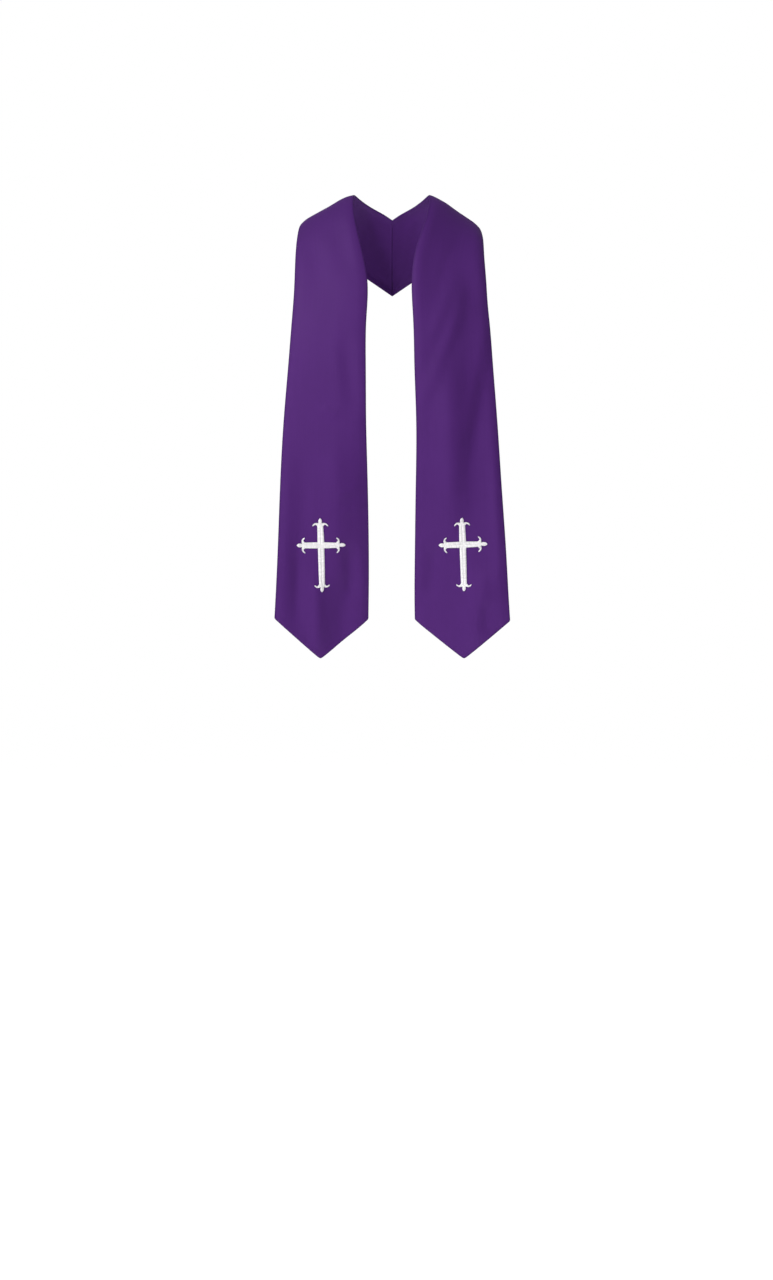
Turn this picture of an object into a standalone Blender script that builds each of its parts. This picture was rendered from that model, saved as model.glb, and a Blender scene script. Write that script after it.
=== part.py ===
"""Choir stole in the shape that it takes when it is worn.

Two tapered panels of lined cloth meet in a mitred seam at the centre back. Each one passes over a
shoulder, hangs down the front to a pointed end, and carries a raised, embroidered cross there.

Frame: metres, +Z up, and the front faces -Y. The origin is the middle of the neck, level with the
places where the cloth lies on the shoulders. Sizes in the tables are in millimetres.
"""

import math
from collections import namedtuple

import bmesh
import bpy
import numpy as np

MM = 0.001

# Driving sizes of the cut, in millimetres
WALL = 2.0
SEAM_GAP = 0.3
HEM_HALF_WIDTH = 66.0
CORNER_ROUNDING = 1.8
TIP_ROUNDING = 2.0

# The grid that each panel is made from
CELLS_ACROSS = 20
CELLS_ALONG = 72
POINT_FADES_OVER = 190.0
SAMPLES_BETWEEN_SECTIONS = 24

# Embroidered cross, in millimetres, on the flat cloth
ARM_UP, ARM_DOWN, ARM_ACROSS = 37.8, 65.4, 33.7
COLUMN_RADIUS, COLUMN_OFFSET = 2.35, 2.05
BUD_LENGTH, BUD_RADIUS = 9.0, 2.6
BARB_SPAN, BARB_DROP, BARB_RADIUS = 10.6, 3.6, 1.5
BARB_BELOW_TIP = 7.6
CROSSING_LIFT, CROSSING_SLIMMER = 0.12, 0.13
BUD_LIFT, BARB_LIFT = 0.07, -0.09
PADDING_FLATNESS = 0.75
POINTS_APART = 9.0
BACK_CUT = 0.17
CUT_LINES_APART = 8.0
TUBE_SIDES_RESOLUTION = 2

PURPLE = (0.080, 0.021, 0.161, 1.0)
WHITE_THREAD = (0.86, 0.87, 0.86, 1.0)

# Cross-sections of a panel on a general figure, from the tip to the seam at the centre back. Each
# one runs from the neck edge to the outer edge. The columns give how far those two edges lie back
# (+Y) and up (+Z), how far the middle stands proud of a straight line between them (bow), and how
# far out from the centre plane they lie on the wearer's right and on the wearer's left.
Section = namedtuple(
    "Section",
    "place in_back in_up edge_back edge_up bow right_in right_edge left_in left_edge",
)
SECTIONS = (
    Section("tip", -88, -641.5, -112, -638.5, 1.0, 34, 168, 33, 168),
    Section("hem corners", -93, -569, -115, -566, 1.0, 33, 163, 30, 162),
    Section("cross", -104, -490, -119, -487, 1.5, 32, 159, 31, 158),
    Section("under the waist", -117, -400, -118, -397, 2.0, 34, 156, 32, 151),
    Section("waist", -122, -315, -110, -313, 2.5, 37, 152, 34, 146),
    Section("fullest", -120, -235, -101, -235, 3.0, 37, 145, 30, 140),
    Section("chest", -108, -172, -89, -178, 3.5, 38, 141, 30, 136),
    Section("upper chest", -89, -120, -69, -128, 3.5, 32, 137, 25, 131),
    Section("collar bone", -65, -70, -44, -84, 3.0, 43, 137, 30, 127),
    Section("before the ridge", -35, -21, -12, -45, 2.0, 56, 135, 51, 126),
    Section("shoulder ridge", -2, 11, 16, -24, 1.5, 56, 129, 55, 123),
    Section("behind the ridge", 32, 7, 48, -50, 2.0, 53, 112, 51, 110),
    Section("top of the back", 56, -7, 80, -80, 2.5, 34, 80, 34, 80),
    Section("beside the seam", 65, -17, 93, -107, 2.5, 13, 40, 13, 40),
    Section("centre back", 68, -26, 98, -134, 2.0, 0, 0, 0, 0),
)

ON_THE_SHOULDER = ("before the ridge", "shoulder ridge", "behind the ridge")

# Soft ridges (height above 0) and troughs (below 0) in the hanging cloth. Each runs between two
# places on the flat panel, given across it (0 is its middle, 1 the outer edge, -1 the neck edge)
# and along it in millimetres from the tip. Narrower folds are left to the dressed model.
Fold = namedtuple("Fold", "place across_a along_a across_b along_b breadth height")
FOLDS = {
    "right": (
        Fold("neck side ridge", -0.26, 300, -0.30, 140, 18, 3.8),
        Fold("neck edge falls back", -0.98, 300, -0.96, 132, 13, -3.0),
        Fold("ridge above the waist", -0.22, 482, -0.35, 335, 11, 0.8),
        Fold("slant at the waist", -0.44, 440, -0.72, 353, 12, -1.6),
        Fold("long slant on the chest", 0.44, 600, -0.25, 445, 16, -0.8),
        Fold("soft trough on the chest", 0.42, 595, 0.43, 485, 14, -0.9),
        Fold("collar trough", -0.37, 622, -0.45, 542, 16, -1.1),
        Fold("outer trough", 0.49, 276, 0.48, 70, 15, -2.6),
        Fold("ridge over the point", 0.17, 110, 0.06, 11, 12, 4.8),
        Fold("trough beside the point", -0.46, 110, -0.40, 12, 15, -3.4),
        Fold("shoulder ridge roll", -0.70, 655, -0.30, 690, 13, 1.0),
        Fold("back trough", -0.15, 712, 0.35, 742, 14, -1.2),
        Fold("back ridge", 0.45, 690, 0.72, 765, 12, 1.0),
    ),
    "left": (
        Fold("neck side ridge", -0.12, 410, -0.22, 185, 22, 7.5),
        Fold("middle trough", 0.60, 400, 0.34, 190, 14, -1.2),
        Fold("slanting trough over the waist", 0.15, 245, 0.86, 418, 12, -1.8),
        Fold("slant at the outer edge", 0.28, 330, 0.87, 470, 11, 1.9),
        Fold("upper slant on the chest", -0.62, 440, 0.28, 543, 11, 2.3),
        Fold("middle trough of the chest", 0.55, 528, 0.33, 438, 11, -1.5),
        Fold("roll under the shoulder", 0.88, 640, 0.92, 515, 22, 7.0),
        Fold("neck edge roll", -0.93, 628, -0.88, 490, 12, 1.8),
        Fold("swell over the point", 0.50, 118, 0.24, 14, 19, 7.0),
        Fold("trough by the hem corner", -0.60, 155, -0.67, 90, 11, -3.4),
        Fold("shoulder ridge roll", -0.62, 650, -0.20, 676, 12, 0.9),
        Fold("back trough", -0.25, 706, 0.30, 728, 13, -1.0),
        Fold("back ridge", 0.40, 682, 0.70, 752, 12, 1.2),
    ),
}

# The pressed edges lie a little lower than the rest of the cloth
EDGE_FALL, EDGE_FALL_OVER = 1.5, 6.0

# What differs between the two sides: the way out from the centre plane, how much lower the outer
# edge lies on the shoulder, how deep the pointed end is and how much it tilts down towards the
# outer edge for each millimetre across, and where the cross sits and leans.
Side = namedtuple(
    "Side", "out shoulder_drop point_depth hem_tilt cross_across cross_above cross_lean"
)
SIDES = {
    "right": Side(-1, 0.0, 57.0, 0.0, 3.9, 159.9, math.radians(-2.5)),
    "left": Side(1, 6.0, 55.0, -0.02, 3.9, 160.9, math.radians(0.7)),
}


def clear_scene():
    for obj in list(bpy.data.objects):
        bpy.data.objects.remove(obj)


def b_spline(points, steps):
    """A uniform cubic B-spline over control points (rows), with steps samples for each stretch."""
    t = np.linspace(0.0, 1.0, steps, endpoint=False)[:, None]
    weights = (
        (1 - t) ** 3 / 6,
        (3 * t**3 - 6 * t**2 + 4) / 6,
        (-3 * t**3 + 3 * t**2 + 3 * t + 1) / 6,
        t**3 / 6,
    )
    stretches = len(points) - 3
    curve = [
        sum(w * points[i + k] for k, w in enumerate(weights)) for i in range(stretches)
    ]
    last = (points[-3] + 4 * points[-2] + points[-1]) / 6
    return np.concatenate([*curve, last[None]])


class Panel:
    """The middle surface of one panel: where each place of the flat cloth lies on the figure."""

    def __init__(self, name):
        self.name = name
        self.side = SIDES[name]
        rows = np.array([self._row(section) for section in SECTIONS], float)
        before = 2 * rows[0] - rows[1]
        after = 2 * rows[-1] - rows[-2]
        samples = b_spline(np.vstack([before, rows, after]), SAMPLES_BETWEEN_SECTIONS)
        inner, edge = samples[:, 0:3], samples[:, 3:6]
        middle = (inner + edge) / 2
        steps = np.linalg.norm(np.diff(middle, axis=0), axis=1)
        self.along = np.concatenate([[0.0], np.cumsum(steps)])
        self.length = self.along[-1]
        self.table = np.column_stack([middle, (edge - inner) / 2, samples[:, 6]])

    def _row(self, section):
        """The section's neck edge and outer edge as x, y and z each, and its bow."""
        drop = self.side.shoulder_drop if section.place in ON_THE_SHOULDER else 0.0
        right = self.side.out < 0
        neck_x = section.right_in if right else section.left_in
        edge_x = section.right_edge if right else section.left_edge
        neck = (neck_x, section.in_back, section.in_up)
        edge = (edge_x, section.edge_back, section.edge_up - drop)
        return *neck, *edge, section.bow

    def half_width(self, along):
        half = np.stack([self._column(k, along) for k in (3, 4, 5)], axis=-1)
        return np.linalg.norm(half, axis=-1)

    def _column(self, number, along):
        return np.interp(along, self.along, self.table[:, number])

    def _ruled(self, across, along):
        middle = np.stack([self._column(k, along) for k in (0, 1, 2)], axis=-1)
        half = np.stack([self._column(k, along) for k in (3, 4, 5)], axis=-1)
        return middle + half * np.asarray(across)[..., None]

    def _normal(self, across, along):
        """The way out of the cloth, from small steps across and along the ruled surface."""
        up = np.minimum(along + 1.0, self.length)
        down = np.maximum(along - 1.0, 0.0)
        d_along = self._ruled(across, up) - self._ruled(across, down)
        d_across = self._ruled(across + 0.01, along) - self._ruled(across - 0.01, along)
        at_seam = (along >= self.length - 1e-6)[..., None]
        d_along = np.where(at_seam, np.array([-1.0, 0.0, 0.0]), d_along)
        normal = np.cross(d_across, d_along)
        return normal / np.linalg.norm(normal, axis=-1, keepdims=True)

    def _relief(self, across, along):
        """Millimetres out of the ruled surface: the section's bow, the soft folds, which die away
        past both ends of their lines, and the fall of the pressed edges."""
        out = self._column(6, along) * (1 - across**2)
        x, y = across * self.half_width(along), along
        for fold in FOLDS[self.name]:
            ends = [
                (a * float(self.half_width(b)), b)
                for a, b in (fold[1:3], fold[3:5])
            ]
            (xa, ya), (xb, yb) = ends
            run = math.hypot(xb - xa, yb - ya)
            share = ((x - xa) * (xb - xa) + (y - ya) * (yb - ya)) / run**2
            away = ((x - xa) * (yb - ya) - (y - ya) * (xb - xa)) / run
            fade = (2 * share - 1) ** 4
            out = out + fold.height * np.exp(-((away / fold.breadth) ** 2) - fade)
        from_edge = self.half_width(along) - np.abs(x)
        return out - EDGE_FALL * np.exp(-((from_edge / EDGE_FALL_OVER) ** 2))

    def place(self, across, along, proud=0.0):
        """Points in metres. across runs from -1 (neck edge) to 1, and along is from the tip."""
        across, along = np.broadcast_arrays(
            np.asarray(across, float), np.asarray(along, float)
        )
        normal = self._normal(across, along)
        out = (self._relief(across, along) + proud)[..., None]
        points = self._ruled(across, along) + normal * out
        points[..., 0] = (points[..., 0] + SEAM_GAP / 2) * self.side.out
        return points * MM


def point_profile(across, depth, tilt):
    """How far above the tip the hem is cut, across the panel: a point with rounded corners."""
    x = across * HEM_HALF_WIDTH
    slope = depth / HEM_HALF_WIDTH
    rise = slope * (np.sqrt(x**2 + TIP_ROUNDING**2) - TIP_ROUNDING)
    from_edge = (HEM_HALF_WIDTH - np.abs(x)) / CORNER_ROUNDING
    corner = CORNER_ROUNDING * np.clip(1 - from_edge, 0, 1) ** 2
    return rise + corner + tilt * x


def panel_grid(panel):
    """across and along for each corner of the panel's grid. Columns crowd towards the edges."""
    turn = np.linspace(-math.pi / 2, math.pi / 2, CELLS_ACROSS + 1)
    even = np.linspace(-1, 1, CELLS_ACROSS + 1)
    across = 0.35 * np.sin(turn) + 0.65 * even
    rows = np.linspace(0, panel.length, CELLS_ALONG + 1)
    fade = np.clip(1 - rows / POINT_FADES_OVER, 0, 1)[:, None]
    side = panel.side
    profile = point_profile(across, side.point_depth, side.hem_tilt)[None]
    along = rows[:, None] + profile * fade
    return np.broadcast_arrays(across[None], along)


def material(name, colour, roughness):
    made = bpy.data.materials.new(name)
    made.use_nodes = True
    shader = made.node_tree.nodes["Principled BSDF"]
    shader.inputs["Base Color"].default_value = colour
    shader.inputs["Roughness"].default_value = roughness
    shader.inputs["Metallic"].default_value = 0.0
    return made


def link(obj, collection):
    collection.objects.link(obj)
    return obj


def make_panel(panel, collection, cloth):
    """A flat grid laid onto the figure, and given its thickness by Solidify."""
    mesh = bpy.data.meshes.new(f"panel_{panel.name}")
    flat = bmesh.new()
    bmesh.ops.create_grid(
        flat, x_segments=CELLS_ACROSS, y_segments=CELLS_ALONG, size=1.0
    )
    across, along = panel_grid(panel)
    laid = panel.place(across, along)
    for corner in flat.verts:
        column = round((corner.co.x + 1) / 2 * CELLS_ACROSS)
        row = round((corner.co.y + 1) / 2 * CELLS_ALONG)
        corner.co = laid[row, column]
    if panel.side.out < 0:
        bmesh.ops.reverse_faces(flat, faces=flat.faces)
    flat.to_mesh(mesh)
    flat.free()
    mesh.shade_smooth()
    mesh.materials.append(cloth)
    obj = link(bpy.data.objects.new(mesh.name, mesh), collection)
    wall = obj.modifiers.new("Cloth thickness", "SOLIDIFY")
    wall.thickness = WALL * MM
    wall.offset = 0.0
    wall.use_even_offset = True
    return obj


def tube(name, points, radii, lift, collection):
    """A filled tube through points on the flat cloth (across, along), with a radius at each."""
    curve = bpy.data.curves.new(name, "CURVE")
    curve.dimensions = "3D"
    curve.bevel_depth = 1.0
    curve.bevel_resolution = TUBE_SIDES_RESOLUTION
    curve.use_fill_caps = True
    line = curve.splines.new("POLY")
    line.points.add(len(points) - 1)
    for knot, (x, y), radius in zip(line.points, points, radii, strict=True):
        knot.co = (x, y, lift, 1.0)
        knot.radius = radius
    return link(bpy.data.objects.new(name, curve), collection)


def turned(points, quarter_turns):
    """Points on the flat cloth, turned about the middle of the cross."""
    angle = quarter_turns * math.pi / 2
    c, s = math.cos(angle), math.sin(angle)
    return [(c * x - s * y, s * x + c * y) for x, y in points]


def column_points(start, end, offset):
    """Places along one column. The second column's lie a little past the first one's."""
    stagger = 0.4 if offset > 0 else 0.0
    count = round((end - start) / POINTS_APART) + 1
    return [(offset, y + stagger) for y in np.linspace(start, end, count)]


def bud_outline():
    """(share of the bud's length from its tip, share of its radius)."""
    return ((0.0, 0.12), (0.10, 0.62), (0.35, 1.0), (0.65, 0.86), (1.0, 0.7))


def cross_pieces(name, collection):
    """Padded columns, end buds and curled barbs, which overlap, so that a union joins them."""
    tips = (ARM_UP, ARM_ACROSS, ARM_DOWN, ARM_ACROSS)
    made = []
    for quarter, (tip, other) in enumerate(zip(tips, tips[2:] + tips[:2], strict=True)):
        end = tip - BARB_BELOW_TIP
        if quarter < 2:
            start = BARB_BELOW_TIP - other
            for offset in (-COLUMN_OFFSET, COLUMN_OFFSET):
                points = turned(column_points(start, end, offset), -quarter)
                radii = [COLUMN_RADIUS - CROSSING_SLIMMER * quarter] * len(points)
                lift = CROSSING_LIFT * quarter
                made.append(tube(f"{name}_column", points, radii, lift, collection))
        bud = [(0.0, tip - share * BUD_LENGTH) for share, _ in bud_outline()]
        radii = [BUD_RADIUS * share for _, share in bud_outline()]
        bud = turned(bud, -quarter)
        made.append(tube(f"{name}_bud", bud, radii, BUD_LIFT, collection))
        spread = np.linspace(-1, 1, 11)
        barb = [(BARB_SPAN * x, end - BARB_DROP * x**4) for x in spread]
        radii = [BARB_RADIUS * (1 - 0.62 * abs(x) ** 3) for x in spread]
        barb = turned(barb, -quarter)
        made.append(tube(f"{name}_barb", barb, radii, BARB_LIFT, collection))
    return made


def as_mesh(obj, collection):
    """The curve as a mesh object in its place, with its caps welded on."""
    graph = bpy.context.evaluated_depsgraph_get()
    mesh = bpy.data.meshes.new_from_object(obj.evaluated_get(graph))
    shape = bmesh.new()
    shape.from_mesh(mesh)
    bmesh.ops.remove_doubles(shape, verts=shape.verts, dist=1e-4)
    for corner in shape.verts:
        corner.co.z *= PADDING_FLATNESS
    bmesh.ops.recalc_face_normals(shape, faces=shape.faces)
    shape.to_mesh(mesh)
    shape.free()
    name = obj.name
    bpy.data.objects.remove(obj)
    return link(bpy.data.objects.new(f"{name}_mesh", mesh), collection)


def face_outward(shape):
    """Turns every face out. A closed shape with its faces in has a volume below 0."""
    bmesh.ops.recalc_face_normals(shape, faces=shape.faces)
    if shape.calc_volume(signed=True) < 0:
        bmesh.ops.reverse_faces(shape, faces=shape.faces)


def cut_through(shape, point, facing, **options):
    """Cuts each face that crosses a plane, so that the shape can bend there."""
    return bmesh.ops.bisect_plane(
        shape,
        geom=[*shape.verts, *shape.edges, *shape.faces],
        plane_co=point,
        plane_no=facing,
        dist=1e-4,
        **options,
    )


def make_cross(panel, collection, helpers, thread):
    """The joined cross, cut level at its back, laid on the panel's outer face."""
    name = f"cross_{panel.name}"
    pieces = [as_mesh(piece, helpers) for piece in cross_pieces(name, helpers)]
    base, others = pieces[0], pieces[1:]
    for number, other in enumerate(others):
        join = base.modifiers.new(f"Join {number}", "BOOLEAN")
        join.operation = "UNION"
        join.solver = "EXACT"
        join.object = other
    bpy.context.view_layer.update()
    graph = bpy.context.evaluated_depsgraph_get()
    mesh = bpy.data.meshes.new_from_object(base.evaluated_get(graph))
    mesh.name = name
    shape = bmesh.new()
    shape.from_mesh(mesh)
    cut = cut_through(shape, (0, 0, BACK_CUT), (0, 0, 1), clear_inner=True)
    rim = [g for g in cut["geom_cut"] if isinstance(g, bmesh.types.BMEdge)]
    bmesh.ops.holes_fill(shape, edges=rim, sides=0)
    bmesh.ops.triangulate(shape, faces=shape.faces)
    for at in np.arange(-ARM_DOWN, ARM_UP, CUT_LINES_APART):
        cut_through(shape, (0, at, 0), (0, 1, 0))
        cut_through(shape, (at, 0, 0), (1, 0, 0))
    bmesh.ops.triangulate(shape, faces=shape.faces)
    lean = panel.side.cross_lean
    c, s = math.cos(lean), math.sin(lean)
    for corner in shape.verts:
        x = corner.co.x * c - corner.co.y * s + panel.side.cross_across
        y = corner.co.x * s + corner.co.y * c + panel.side.cross_above
        across = x / float(panel.half_width(y))
        proud = WALL / 2 + SEAM_GAP + corner.co.z - BACK_CUT
        corner.co = panel.place(across, y, proud)
    face_outward(shape)
    shape.to_mesh(mesh)
    shape.free()
    for piece in pieces:
        bpy.data.objects.remove(piece)
    mesh.materials.clear()
    mesh.materials.append(thread)
    mesh.shade_smooth()
    mesh.set_sharp_from_angle(angle=math.radians(50))
    return link(bpy.data.objects.new(name, mesh), collection)


def new_collection(name, hidden=False):
    made = bpy.data.collections.new(name)
    made.hide_render = hidden
    bpy.context.scene.collection.children.link(made)
    return made


def main():
    clear_scene()
    stole = new_collection("Choir stole")
    helpers = new_collection("Helpers", hidden=True)
    cloth = material("purple cloth", PURPLE, 0.55)
    thread = material("white thread", WHITE_THREAD, 0.45)
    for name in SIDES:
        panel = Panel(name)
        make_panel(panel, stole, cloth)
        make_cross(panel, stole, helpers, thread)


main()
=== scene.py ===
# %% [markdown]
# # A choir stole, dressed for its picture
#
# A choir stole is two tapered panels of lined satin. They are joined by one slanting seam at the
# centre back, lie over the shoulders, and hang down the front to pointed ends. Near each end is a
# white cross in raised satin stitch.
#
# The plain solids of the stole are loaded first. They could be given a material and left as they
# are, but they have a hard rim, no turned edge and no thread. So each one is replaced here by a
# finer surface that lies in the same place. Every surface is a formula: a place on the flat cloth
# goes in, and its place in the hanging stole comes out.

# %% Load the plain solids
import math
from collections import namedtuple

import bpy
import numpy as np
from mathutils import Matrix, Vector


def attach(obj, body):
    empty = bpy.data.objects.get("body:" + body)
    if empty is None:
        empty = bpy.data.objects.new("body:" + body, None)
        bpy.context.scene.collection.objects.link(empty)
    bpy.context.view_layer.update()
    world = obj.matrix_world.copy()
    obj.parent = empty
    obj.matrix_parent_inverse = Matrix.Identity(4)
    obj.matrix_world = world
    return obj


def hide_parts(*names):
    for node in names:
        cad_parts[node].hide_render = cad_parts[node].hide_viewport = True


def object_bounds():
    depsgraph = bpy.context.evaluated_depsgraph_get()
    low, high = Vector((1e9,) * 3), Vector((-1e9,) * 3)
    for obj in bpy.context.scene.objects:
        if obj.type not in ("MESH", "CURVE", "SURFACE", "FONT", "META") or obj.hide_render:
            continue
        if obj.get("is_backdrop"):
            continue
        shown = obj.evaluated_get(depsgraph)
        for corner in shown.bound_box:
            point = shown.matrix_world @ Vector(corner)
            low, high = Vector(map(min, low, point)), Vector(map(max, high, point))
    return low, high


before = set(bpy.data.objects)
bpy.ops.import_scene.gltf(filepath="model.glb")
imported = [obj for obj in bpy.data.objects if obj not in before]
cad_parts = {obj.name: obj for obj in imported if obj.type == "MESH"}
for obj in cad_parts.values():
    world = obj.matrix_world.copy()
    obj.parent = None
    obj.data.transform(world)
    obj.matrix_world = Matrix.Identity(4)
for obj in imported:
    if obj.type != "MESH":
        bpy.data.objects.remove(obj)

cad_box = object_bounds()
MM = 0.001
print("solids:", sorted(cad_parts))

# %% [markdown]
# ## Where the cloth lies
#
# The cloth has to follow the solids, so the same few cross-sections guide it. Each section is a
# straight line from the neck edge to the outer edge. A smooth curve carries each edge through the
# sections. A simulation could drape the strips too, but it would need a dress form under them, and
# it would move the edges away from where the picture has them.

# %% The cross-sections, from the tip to the centre back
# The columns give, in millimetres, how far the neck edge and the outer edge lie back (+Y) and up
# (+Z), how far the middle stands proud of a straight line between them (bow), how far out from the
# centre plane the two edges lie on the right and on the left, and how much lower the left panel's
# outer edge is.
Section = namedtuple(
    "Section",
    "place in_back in_up edge_back edge_up bow right_in right_edge left_in left_edge left_drop",
)
SECTIONS = (
    Section("tip", -88, -641.5, -112, -638.5, 1.0, 34, 168, 33, 168, 0),
    Section("hem corners", -93, -569, -115, -566, 1.0, 33, 163, 30, 162, 0),
    Section("cross", -104, -490, -119, -487, 1.5, 32, 159, 31, 158, 0),
    Section("under the waist", -117, -400, -118, -397, 2.0, 34, 156, 32, 151, 0),
    Section("waist", -122, -315, -110, -313, 2.5, 37, 152, 34, 146, 0),
    Section("fullest", -120, -235, -101, -235, 3.0, 37, 145, 30, 140, 0),
    Section("chest", -108, -172, -89, -178, 3.5, 38, 141, 30, 136, 0),
    Section("upper chest", -89, -120, -69, -128, 3.5, 32, 137, 25, 131, 0),
    Section("collar bone", -65, -70, -44, -84, 3.0, 43, 137, 30, 127, 0),
    Section("before the ridge", -35, -21, -12, -45, 2.0, 56, 135, 51, 126, 6),
    Section("shoulder ridge", -2, 11, 16, -24, 1.5, 56, 129, 55, 123, 6),
    Section("behind the ridge", 32, 7, 48, -50, 2.0, 53, 112, 51, 110, 6),
    Section("top of the back", 56, -7, 80, -80, 2.5, 34, 80, 34, 80, 0),
    Section("beside the seam", 65, -17, 93, -107, 2.5, 13, 40, 13, 40, 0),
    Section("centre back", 68, -26, 98, -134, 2.0, 0, 0, 0, 0, 0),
)
OUT = {"right": -1, "left": 1}
# Each panel goes this far over the centre plane at the seam, in millimetres, so that no slit shows.
SEAM_OVERLAP = 0.05


def smooth_curve(controls, steps=60):
    """A uniform cubic B-spline. Each sample is four neighbouring controls, weighted by the cubic
    blend (1-t)^3/6, (3t^3-6t^2+4)/6, (-3t^3+3t^2+3t+1)/6 and t^3/6, and the ends run on straight."""
    before, after = 2 * controls[0] - controls[1], 2 * controls[-1] - controls[-2]
    points = np.vstack([before, controls, after])
    place = np.linspace(0, len(controls) - 1, (len(controls) - 1) * steps + 1)
    first = np.minimum(place.astype(int), len(controls) - 2)
    t = (place - first)[:, None]
    weights = (
        (1 - t) ** 3 / 6,
        (3 * t**3 - 6 * t**2 + 4) / 6,
        (-3 * t**3 + 3 * t**2 + 3 * t + 1) / 6,
        t**3 / 6,
    )
    return sum(w * points[first + k] for k, w in enumerate(weights))


def guide_of(side):
    """The middle, (neck edge + outer edge) / 2, the half-width vector, (outer edge - neck edge) / 2,
    and the bow of the panel, with the length of the middle line up to each of them."""
    if side == "right":
        rows = [
            (s.right_in, s.in_back, s.in_up, s.right_edge, s.edge_back, s.edge_up, s.bow)
            for s in SECTIONS
        ]
    else:
        rows = [
            (s.left_in, s.in_back, s.in_up, s.left_edge, s.edge_back, s.edge_up - s.left_drop, s.bow)
            for s in SECTIONS
        ]
    curve = smooth_curve(np.array(rows, float))
    middle, half = (curve[:, 0:3] + curve[:, 3:6]) / 2, (curve[:, 3:6] - curve[:, 0:3]) / 2
    steps = np.linalg.norm(np.diff(middle, axis=0), axis=1)
    along = np.concatenate([[0.0], np.cumsum(steps)])
    return {"along": along, "table": np.column_stack([middle, half, curve[:, 6]])}


GUIDES = {side: guide_of(side) for side in OUT}
LENGTH = {side: float(GUIDES[side]["along"][-1]) for side in OUT}
print("panel lengths, mm:", {side: round(LENGTH[side], 1) for side in OUT})

# %% [markdown]
# ## Folds
#
# Lined satin this narrow has no sharp creases. It has broad, shallow waves: a ridge where the
# panel turns over the chest, slanting ones where a strip is pulled from the neck towards the outer
# edge, and hollows beside the stiff embroidery. A noise texture would spread them evenly, and real
# ones aren't even, so each fold is placed one by one. It is a soft ridge or trough along a line.

# %% The folds of each panel
# A fold's line runs from a to b. across is -1 at the neck edge and 1 at the outer edge, and along is
# in millimetres up from the tip. Breadth and height are in millimetres, and a trough's height is
# below 0.
Fold = namedtuple("Fold", "place across_a along_a across_b along_b breadth height")
FOLDS = {
    "right": (
        Fold("neck side ridge", -0.26, 300, -0.30, 140, 18, 3.8),
        Fold("neck edge falls back", -0.98, 300, -0.96, 132, 13, -3.0),
        Fold("ridge above the waist", -0.22, 482, -0.35, 335, 11, 0.8),
        Fold("slant at the waist", -0.44, 440, -0.72, 353, 12, -1.6),
        Fold("step over the waist", 0.08, 350, -0.30, 338, 7, 1.2),
        Fold("long slant on the chest", 0.44, 600, -0.25, 445, 16, -0.8),
        Fold("soft trough on the chest", 0.42, 595, 0.43, 485, 14, -0.9),
        Fold("collar trough", -0.37, 622, -0.45, 542, 16, -1.1),
        Fold("outer trough", 0.49, 276, 0.48, 70, 15, -2.6),
        Fold("deep part of the outer trough", 0.58, 165, 0.54, 50, 9, -2.6),
        Fold("hollow on the neck side", -0.55, 160, -0.62, 85, 10, -3.8),
        Fold("short slant above the cross", -0.29, 228, -0.78, 243, 6, 1.2),
        Fold("shorter slant under it", -0.41, 204, -0.90, 217, 5, 0.8),
        Fold("ridge over the point", 0.17, 110, 0.06, 11, 12, 4.8),
        Fold("trough beside the point", -0.46, 110, -0.40, 12, 15, -3.4),
        Fold("shoulder ridge roll", -0.70, 655, -0.30, 690, 13, 1.0),
        Fold("back trough", -0.15, 712, 0.35, 742, 14, -1.2),
        Fold("back ridge", 0.45, 690, 0.72, 765, 12, 1.0),
        Fold("trough beside the seam", -0.45, 765, -0.10, 790, 10, -0.7),
    ),
    "left": (
        Fold("neck side ridge", -0.12, 410, -0.22, 185, 22, 7.5),
        Fold("middle trough", 0.56, 400, 0.30, 190, 15, -1.25),
        Fold("slanting trough over the waist", 0.15, 245, 0.86, 418, 12, -1.8),
        Fold("outer ridge", 0.90, 326, 0.80, 66, 9, 2.2),
        Fold("slant at the outer edge", 0.28, 330, 0.87, 470, 11, 1.9),
        Fold("lower slant on the chest", -0.80, 362, 0.15, 482, 10, 1.8),
        Fold("upper slant on the chest", -0.62, 440, 0.28, 543, 11, 2.3),
        Fold("long slant above the waist", -0.20, 432, 0.40, 530, 10, 1.5),
        Fold("short hollow over them", -0.40, 507, 0.12, 592, 8, -0.9),
        Fold("middle trough of the chest", 0.58, 528, 0.36, 438, 13, -1.2),
        Fold("roll under the shoulder", 0.88, 640, 0.92, 515, 22, 7.0),
        Fold("neck edge roll", -0.93, 628, -0.88, 490, 12, 1.8),
        Fold("swell over the point", 0.50, 118, 0.24, 14, 19, 7.0),
        Fold("short trough beside it", 0.54, 78, 0.46, 38, 9, -2.6),
        Fold("trough by the hem corner", -0.60, 155, -0.67, 90, 11, -3.4),
        Fold("shoulder ridge roll", -0.62, 650, -0.20, 676, 12, 0.9),
        Fold("back trough", -0.25, 706, 0.30, 728, 13, -1.0),
        Fold("back ridge", 0.40, 682, 0.70, 752, 12, 1.2),
        Fold("trough beside the seam", -0.55, 758, -0.20, 782, 9, -0.6),
    ),
}
EDGE_FALL, EDGE_FALL_OVER = 2.1, 6.5
print("folds:", {side: len(FOLDS[side]) for side in OUT})

# %% The height of the folds
MIDDLE, HALF, BOW = (0, 1, 2), (3, 4, 5), 6


def column(side, number, along):
    """One column of the guide's table, in a straight line between its rows."""
    return np.interp(along, GUIDES[side]["along"], GUIDES[side]["table"][:, number])


def half_width(side, along):
    """The length of the half-width vector: the root of the sum of its squares."""
    return np.sqrt(sum(column(side, k, along) ** 2 for k in HALF))


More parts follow.
